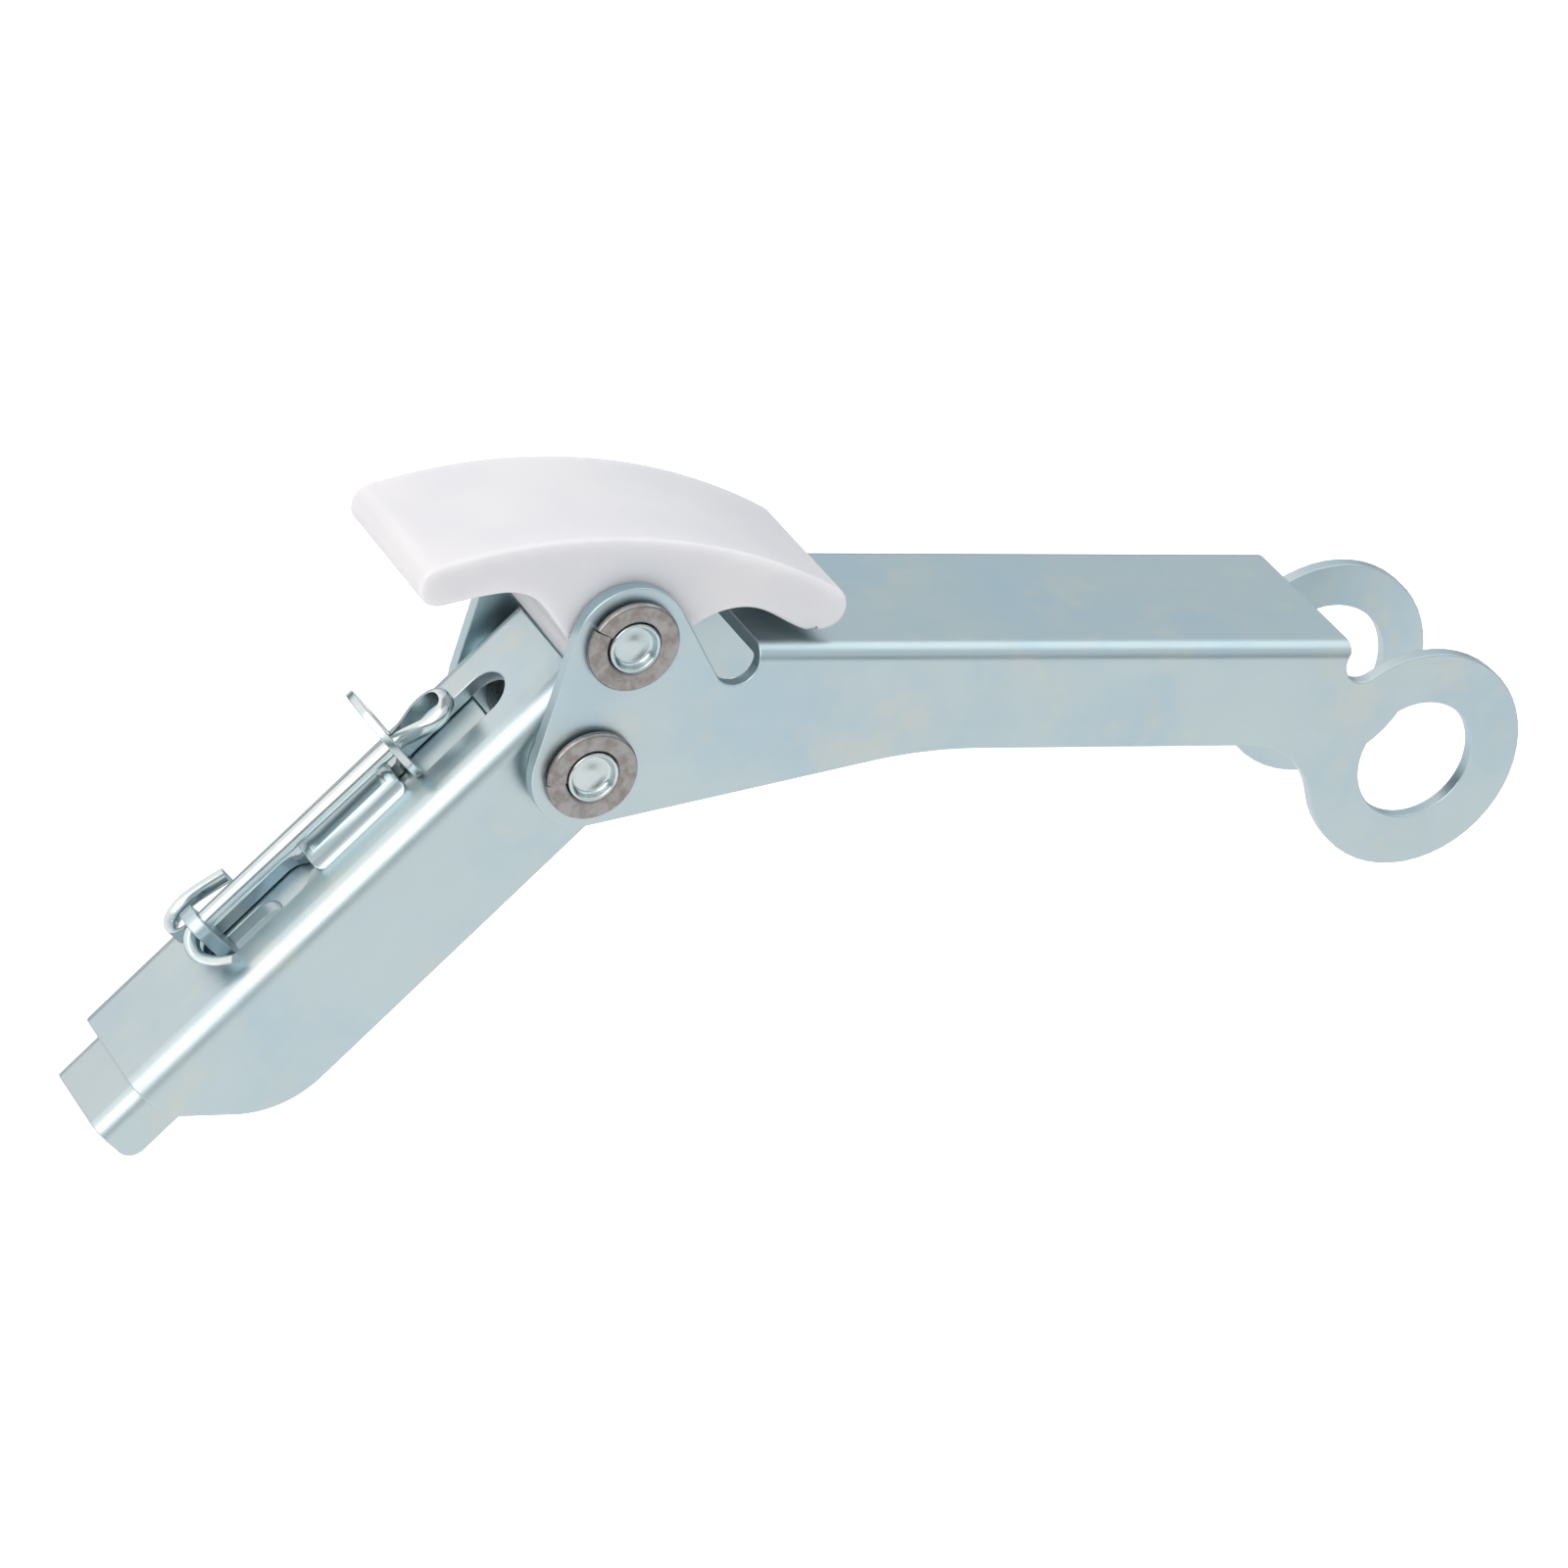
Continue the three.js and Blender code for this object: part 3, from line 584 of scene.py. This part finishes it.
def pinPaths():
    # one run from the crown of the eye to each bent end
    side = splitPin["gap"] / 2
    bulge = splitPin["eyeWidth"] / 2 - splitPin["wire"] * 0.55
    crown = splitPin["eyeStart"] + splitPin["wire"]
    h, eye, top, end = (splitPin[k] for k in ("height", "eyeHeight", "hole", "eyeEnd"))
    half = [(crown, 0, eye), (crown, bulge * 0.45, eye), (crown + 1.4, bulge * 0.9, eye),
            (crown + 4.4, bulge, eye + 0.1), (end - 4.2, bulge * 0.5, eye + 0.35), (end - 1, side * 3, h),
            (end + 2, side, h), (32, side, h + 0.1), (48, side, 20.6), (64, side, top - 0.1), (73.2, side, top)]
    nearEnd = [(75.0, 0.9, top - 0.1), (76.4, 2.9, 20.1), (76.7, 5.2, 19.0), (75.2, 7.7, 17.8),
               (73.4, 9.5, 17.1), (71.4, 11, 16.7)]
    farEnd = [(75.4, 0.4, top), (77.4, 1.9, top), (77.7, 4.6, top), (76.4, 7.4, top), (72.9, 8.7, top),
              (68.5, 8.1, top), (62.3, 6.0, top - 0.2)]
    near = [(s, -y, z) for s, y, z in half + nearEnd]
    return near, half + farEnd


def buildHalfRound():
    inputs = [
        ("Radius", "NodeSocketFloat", 1.9), ("Turn", "NodeSocketFloat", 0.0), ("Step", "NodeSocketFloat", 0.25),
        ("Finish", "NodeSocketMaterial", None),
    ]
    tree, start, end = newGeometryTree("halfRoundWire", inputs)
    resample = tree.nodes.new("GeometryNodeResampleCurve")
    resample.mode = "LENGTH"
    link(tree, start.outputs["Geometry"], resample.inputs["Curve"])
    link(tree, start.outputs["Step"], resample.inputs["Length"])
    half = tree.nodes.new("GeometryNodeCurveArc")
    half.mode = "RADIUS"
    half.inputs["Resolution"].default_value = 18
    half.inputs["Sweep Angle"].default_value = math.pi
    half.inputs["Connect Center"].default_value = False
    link(tree, start.outputs["Radius"], half.inputs["Radius"])
    link(tree, start.outputs["Turn"], half.inputs["Start Angle"])
    closed = tree.nodes.new("GeometryNodeSetSplineCyclic")
    closed.inputs["Cyclic"].default_value = True
    link(tree, half.outputs["Curve"], closed.inputs["Geometry"])
    sweep = tree.nodes.new("GeometryNodeCurveToMesh")
    sweep.inputs["Fill Caps"].default_value = True
    link(tree, resample.outputs["Curve"], sweep.inputs["Curve"])
    link(tree, closed.outputs["Geometry"], sweep.inputs["Profile Curve"])
    endTree(tree, start, end, sweep.outputs["Mesh"])
    return tree


def splitPinMesh():
    path = bpy.data.curves.new("pinPath", "CURVE")
    path.dimensions = "3D"
    path.twist_mode = "MINIMUM"
    for points, tilt in zip(pinPaths(), (0, math.pi)):
        spline = path.splines.new("NURBS")
        spline.points.add(len(points) - 1)
        for point, (down, across, out) in zip(spline.points, points):
            point.co = (-down * mm, across * mm, out * mm, 1)
            point.tilt = tilt
        spline.order_u = 3
        spline.use_endpoint_u = True
        spline.resolution_u = 10
    mesh = grow("splitPin", path, buildHalfRound(), {
        "Radius": splitPin["wire"] * mm, "Turn": math.pi / 2, "Step": splitPin["step"] * mm, "Finish": zincSmall,
    })
    mesh.transform(legPlace)
    mesh.set_sharp_from_angle(angle=math.radians(40))
    return mesh


hand(addObject("splitPin", splitPinMesh(), zincSmall), "bolt", "zinc_plate", "split_pin")
print("split pin bent")


studio = {
    "floorDrop": 0.12,                       # the latch hangs this far above the floor
    "floorSize": 6.0, "paper": 0.91, "glow": 0.5,
    "horizon": (0.1054, 0.17, 0.1904, 1),    # a dark band low in the room, pale above it
    "ceiling": (1, 1, 1, 1), "zenith": (0.92, 0.92, 0.92, 1),
    "horizonTop": 0.12, "ceilingFrom": 0.27, "ceilingTo": 0.5, "zenithFrom": 0.85,
    "leftSide": (1.52, 1.38, 1.33, 1),       # the room is brighter and warmer on the left
    "rightSide": (0.77, 0.81, 0.84, 1),
    "leftEnd": -0.6, "rightEnd": 0.55,
}
lamps = {
    "overhead": {"place": (0.5, 0.0, 0.95), "size": (0.9, 0.7), "brightness": 0.8},
    "left": {"place": (-0.76, -0.45, 0.6), "size": (1.0, 0.75), "brightness": 1.4},
}


def plainStage():
    drop = cadLow.z - studio["floorDrop"]
    size = studio["floorSize"]
    mesh = bpy.data.meshes.new("floor")
    corners = [(-size, -size, drop), (size, -size, drop), (size, size, drop), (-size, size, drop)]
    mesh.from_pydata(corners, [], [(0, 1, 2, 3)])
    material = bpy.data.materials.new("palePaper")
    material.use_nodes = True
    shader = material.node_tree.nodes["Principled BSDF"]
    shader.inputs["Base Color"].default_value = (studio["paper"],) * 3 + (1,)
    shader.inputs["Roughness"].default_value = 0.9
    shader.inputs["Specular IOR Level"].default_value = 0.0
    shader.inputs["Emission Color"].default_value = (1, 1, 1, 1)
    seen = material.node_tree.nodes.new("ShaderNodeLightPath").outputs["Is Camera Ray"]
    glow = addMath(material.node_tree, "MULTIPLY", seen, studio["glow"])
    material.node_tree.links.new(glow, shader.inputs["Emission Strength"])
    floor = addObject("floor", mesh, material)
    floor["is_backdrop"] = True


def softLight(name, place, target, size, brightness):
    data = bpy.data.lights.new(name, "AREA")
    data.shape = "RECTANGLE"
    data.size, data.size_y = size
    data.energy = brightness * math.pi * size[0] * size[1]
    lamp = bpy.data.objects.new(name, data)
    lamp.location = place
    lamp.rotation_euler = (Vector(target) - Vector(place)).to_track_quat("-Z", "Y").to_euler()
    bpy.context.scene.collection.objects.link(lamp)


def buildWorld():
    world = bpy.data.worlds.new("studio")
    bpy.context.scene.world = world
    world.use_nodes = True
    tree = world.node_tree
    background = tree.nodes["Background"]
    where = tree.nodes.new("ShaderNodeTexCoord")
    split = tree.nodes.new("ShaderNodeSeparateXYZ")
    tree.links.new(where.outputs["Generated"], split.inputs[0])
    ramp = tree.nodes.new("ShaderNodeValToRGB")
    steps = ramp.color_ramp.elements
    for step, place, tone in zip(steps, ("horizonTop", "ceilingFrom"), ("horizon", "ceiling")):
        step.position = studio[place]
        step.color = studio[tone]
    for place, tone in (("ceilingTo", "ceiling"), ("zenithFrom", "zenith")):
        steps.new(studio[place]).color = studio[tone]
    tree.links.new(split.outputs["Z"], ramp.inputs["Fac"])
    seen = tree.nodes.new("ShaderNodeLightPath").outputs["Is Camera Ray"]
    toRight = addRange(tree, split.outputs["X"], studio["leftEnd"], studio["rightEnd"])
    side = addMix(tree, toRight, studio["leftSide"], studio["rightSide"])
    room = tree.nodes.new("ShaderNodeVectorMath")
    room.operation = "MULTIPLY"
    tree.links.new(ramp.outputs["Color"], room.inputs[0])
    tree.links.new(side, room.inputs[1])
    tree.links.new(addMix(tree, seen, room.outputs[0], (1, 1, 1, 1)), background.inputs["Color"])


camera = {
    "azimuth": -30.124, "elevation": 24.931, "roll": 13.038, "lens": 168.2,
    "place": (-0.7617, -1.0964, 0.5743),
}


def placeCamera():
    azimuth, elevation, roll = (math.radians(camera[k]) for k in ("azimuth", "elevation", "roll"))
    back = Vector((
        math.sin(azimuth) * math.cos(elevation), -math.cos(azimuth) * math.cos(elevation), math.sin(elevation),
    ))
    level = Vector((math.cos(azimuth), math.sin(azimuth), 0))
    raised = back.cross(level)
    right = level * math.cos(roll) + raised * math.sin(roll)
    up = back.cross(right)
    place = Matrix((right, up, back)).transposed().to_4x4()
    place.translation = Vector(camera["place"])
    data = bpy.data.cameras.new("camera")
    data.sensor_width = 36
    data.lens = camera["lens"]
    data.clip_end = 20
    eye = bpy.data.objects.new("camera", data)
    eye.matrix_world = place
    bpy.context.scene.collection.objects.link(eye)
    bpy.context.scene.camera = eye


plainStage()
middle = (cadLow + cadHigh) / 2
for name, lamp in lamps.items():
    softLight(name, middle + Vector(lamp["place"]), middle, lamp["size"], lamp["brightness"])
buildWorld()
placeCamera()
bpy.context.scene.view_settings.view_transform = "Standard"
print("stage, lights and camera placed")

low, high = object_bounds()
